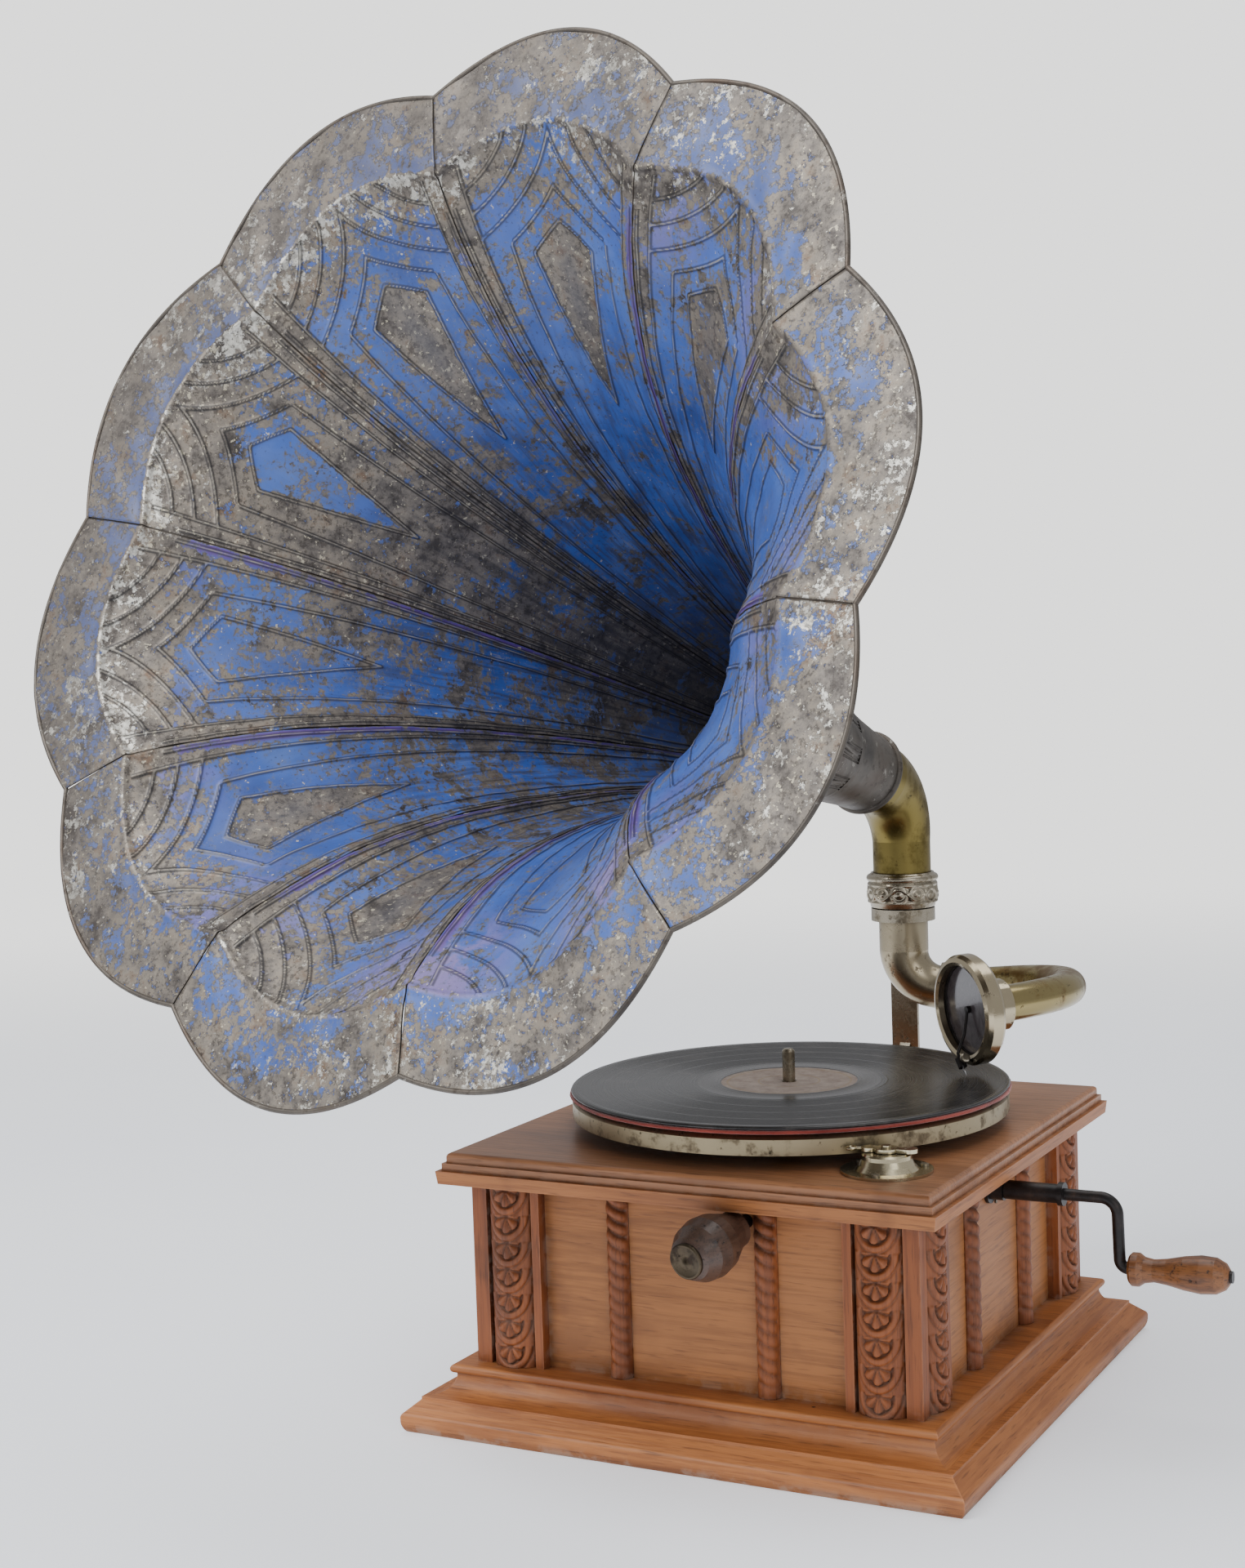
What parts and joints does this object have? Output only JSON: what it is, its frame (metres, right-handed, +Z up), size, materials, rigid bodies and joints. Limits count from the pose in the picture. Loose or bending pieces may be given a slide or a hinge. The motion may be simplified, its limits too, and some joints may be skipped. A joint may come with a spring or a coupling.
{
  "type": "wind-up horn phonograph",
  "caption": "Table-top spring-driven phonograph: panelled oak cabinet, turntable with disc, folded-petal horn on a swivel elbow, curved tone arm and side crank.",
  "frame": {"origin": "centre of the underside of the base board, on the surface it stands on", "axes": "+Z up, +X to the right seen from the front, where the crank is, -Y towards the front, where the horn points"},
  "size_m": [0.5949, 0.5696, 0.7342],
  "materials": {
    "oak": "satin varnish",
    "oak_panel": "satin varnish",
    "motor_steel": "satin",
    "spring_steel": "oiled",
    "gear_brass": "satin",
    "nickel": "worn nickel plate",
    "screws": "worn",
    "worn_brass_tube": "worn nickel over brass",
    "elbow_brass": "lacquered, dull",
    "horn_paint": "worn enamel",
    "horn_metal": "dull bare metal",
    "felt": "matte",
    "shellac": "glossy grooves",
    "mica": "clear flake",
    "gasket_rubber": "matte",
    "needle_steel": "polished",
    "black_iron": "blackened",
    "handle_wood": "worn varnish",
    "knob_wood": "dark stain"
  },
  "bodies": {
    "cabinet": {"base_board": "oak", "plinth_mouldings": "oak", "front_panel": "oak_panel", "back_panel": "oak_panel", "left_panel": "oak_panel", "right_panel": "oak_panel", "corner_posts": "oak", "carved_columns": "oak", "bead_pilasters": "oak", "cornice_mouldings": "oak", "deck_board": "oak", "motor_plates": "motor_steel", "motor_pillars": "motor_steel", "bearing_bushes": "black_iron", "brake_base": "nickel", "wood_screws": "screws", "horn_bracket": "nickel", "collar_ring": "nickel"},
    "turntable": {"platter": "nickel", "felt_mat": "felt", "record": "shellac", "spindle": "nickel", "spindle_gears": "gear_brass"},
    "spring_drum": {"spring_barrel": "motor_steel", "mainspring": "spring_steel"},
    "winding_arbor": {"barrel_arbor": "motor_steel", "crown_gear": "gear_brass", "ratchet_wheel": "motor_steel"},
    "click": {"click_pawl": "motor_steel"},
    "idler": {"idler_wheels": "gear_brass"},
    "governor": {"governor_shaft": "motor_steel", "governor_weights": "gear_brass"},
    "crank": {"crank_rod": "black_iron", "crank_pinion": "gear_brass"},
    "crank_grip": {"crank_handle": "handle_wood"},
    "brake": {"brake_lever": "nickel"},
    "speed_control": {"speed_rod": "black_iron", "speed_knob": "knob_wood"},
    "horn": {"horn_elbow": "elbow_brass", "horn_neck": "horn_metal", "seam_ribs": "horn_metal", "horn_petal_01": "horn_paint", "horn_petal_02": "horn_paint", "horn_petal_03": "horn_paint", "horn_petal_04": "horn_paint", "horn_petal_05": "horn_paint", "horn_petal_06": "horn_paint", "horn_petal_07": "horn_paint", "horn_petal_08": "horn_paint", "horn_petal_09": "horn_paint", "horn_petal_10": "horn_paint"},
    "tone_arm": {"tone_arm_elbow": "nickel"},
    "reproducer": {"tone_arm_tube": "worn_brass_tube", "soundbox_rim": "nickel", "soundbox_back": "nickel", "gasket_rings": "gasket_rubber", "mica_diaphragm": "mica", "stylus_bar": "nickel", "needle": "needle_steel"},
    "needle_clamp": {"needle_screw": "screws"}
  },
  "joints": [
    {"name": "turntable_spin", "type": "hinge", "parent": "cabinet", "child": "turntable", "pos_m": [0.0044, -0.0046, 0.165], "axis": [0, 0, 1], "continuous": true},
    {"name": "barrel_turn", "type": "hinge", "parent": "cabinet", "child": "spring_drum", "pos_m": [0.07, -0.009, 0.08], "axis": [0, 0, 1], "continuous": true},
    {"name": "crank_turn", "type": "hinge", "parent": "cabinet", "child": "crank", "pos_m": [0.14, -0.009, 0.124], "axis": [1, 0, 0], "continuous": true},
    {"name": "arbor_turn", "type": "hinge", "parent": "cabinet", "child": "winding_arbor", "pos_m": [0.07, -0.009, 0.11], "axis": [0, 0, 1], "continuous": true},
    {"name": "click_lift", "type": "hinge", "parent": "cabinet", "child": "click", "pos_m": [0.07, 0.013, 0.1], "axis": [0, 0, 1], "range_deg": [0, 10]},
    {"name": "idler_turn", "type": "hinge", "parent": "cabinet", "child": "idler", "pos_m": [0.03049, 0.02164, 0.1], "axis": [0, 0, 1], "continuous": true},
    {"name": "governor_turn", "type": "hinge", "parent": "cabinet", "child": "governor", "pos_m": [-0.0206, 0, 0.082], "axis": [0, 1, 0], "continuous": true},
    {"name": "handle_spin", "type": "hinge", "parent": "crank", "child": "crank_grip", "pos_m": [0.202, -0.009, 0.0866], "axis": [0.9999, 0, 0.0172], "continuous": true},
    {"name": "brake_swing", "type": "hinge", "parent": "cabinet", "child": "brake", "pos_m": [0.102, -0.103, 0.1635], "axis": [0, 0, 1], "range_deg": [0, 28]},
    {"name": "speed_turn", "type": "hinge", "parent": "cabinet", "child": "speed_control", "pos_m": [0.0325, -0.1276, 0.126], "axis": [-0.14, -0.9802, -0.14], "range_deg": [-150, 150]},
    {"name": "horn_swivel", "type": "hinge", "parent": "cabinet", "child": "horn", "pos_m": [0.0015, 0.19, 0.26], "axis": [0, 0, 1], "continuous": true},
    {"name": "tone_arm_swing", "type": "hinge", "parent": "cabinet", "child": "tone_arm", "pos_m": [0.0015, 0.19, 0.25], "axis": [0, 0, 1], "range_deg": [-19, 14]},
    {"name": "reproducer_lift", "type": "hinge", "parent": "tone_arm", "child": "reproducer", "pos_m": [0.02806, 0.19516, 0.20013], "axis": [-0.9762, -0.1898, -0.1045], "range_deg": [0, 35]},
    {"name": "needle_screw_turn", "type": "hinge", "parent": "reproducer", "child": "needle_clamp", "pos_m": [0.09217, 0.04044, 0.18251], "axis": [0.5933, -0.5406, 0.5965], "range_deg": [0, 180]}
  ],
  "couplings": [
    {"joint": "barrel_turn", "follows": "turntable_spin", "ratio": 0.031818},
    {"joint": "idler_turn", "follows": "turntable_spin", "ratio": -0.23333},
    {"joint": "governor_turn", "follows": "turntable_spin", "ratio": 4},
    {"joint": "arbor_turn", "follows": "crank_turn", "ratio": 0.5}
  ]
}
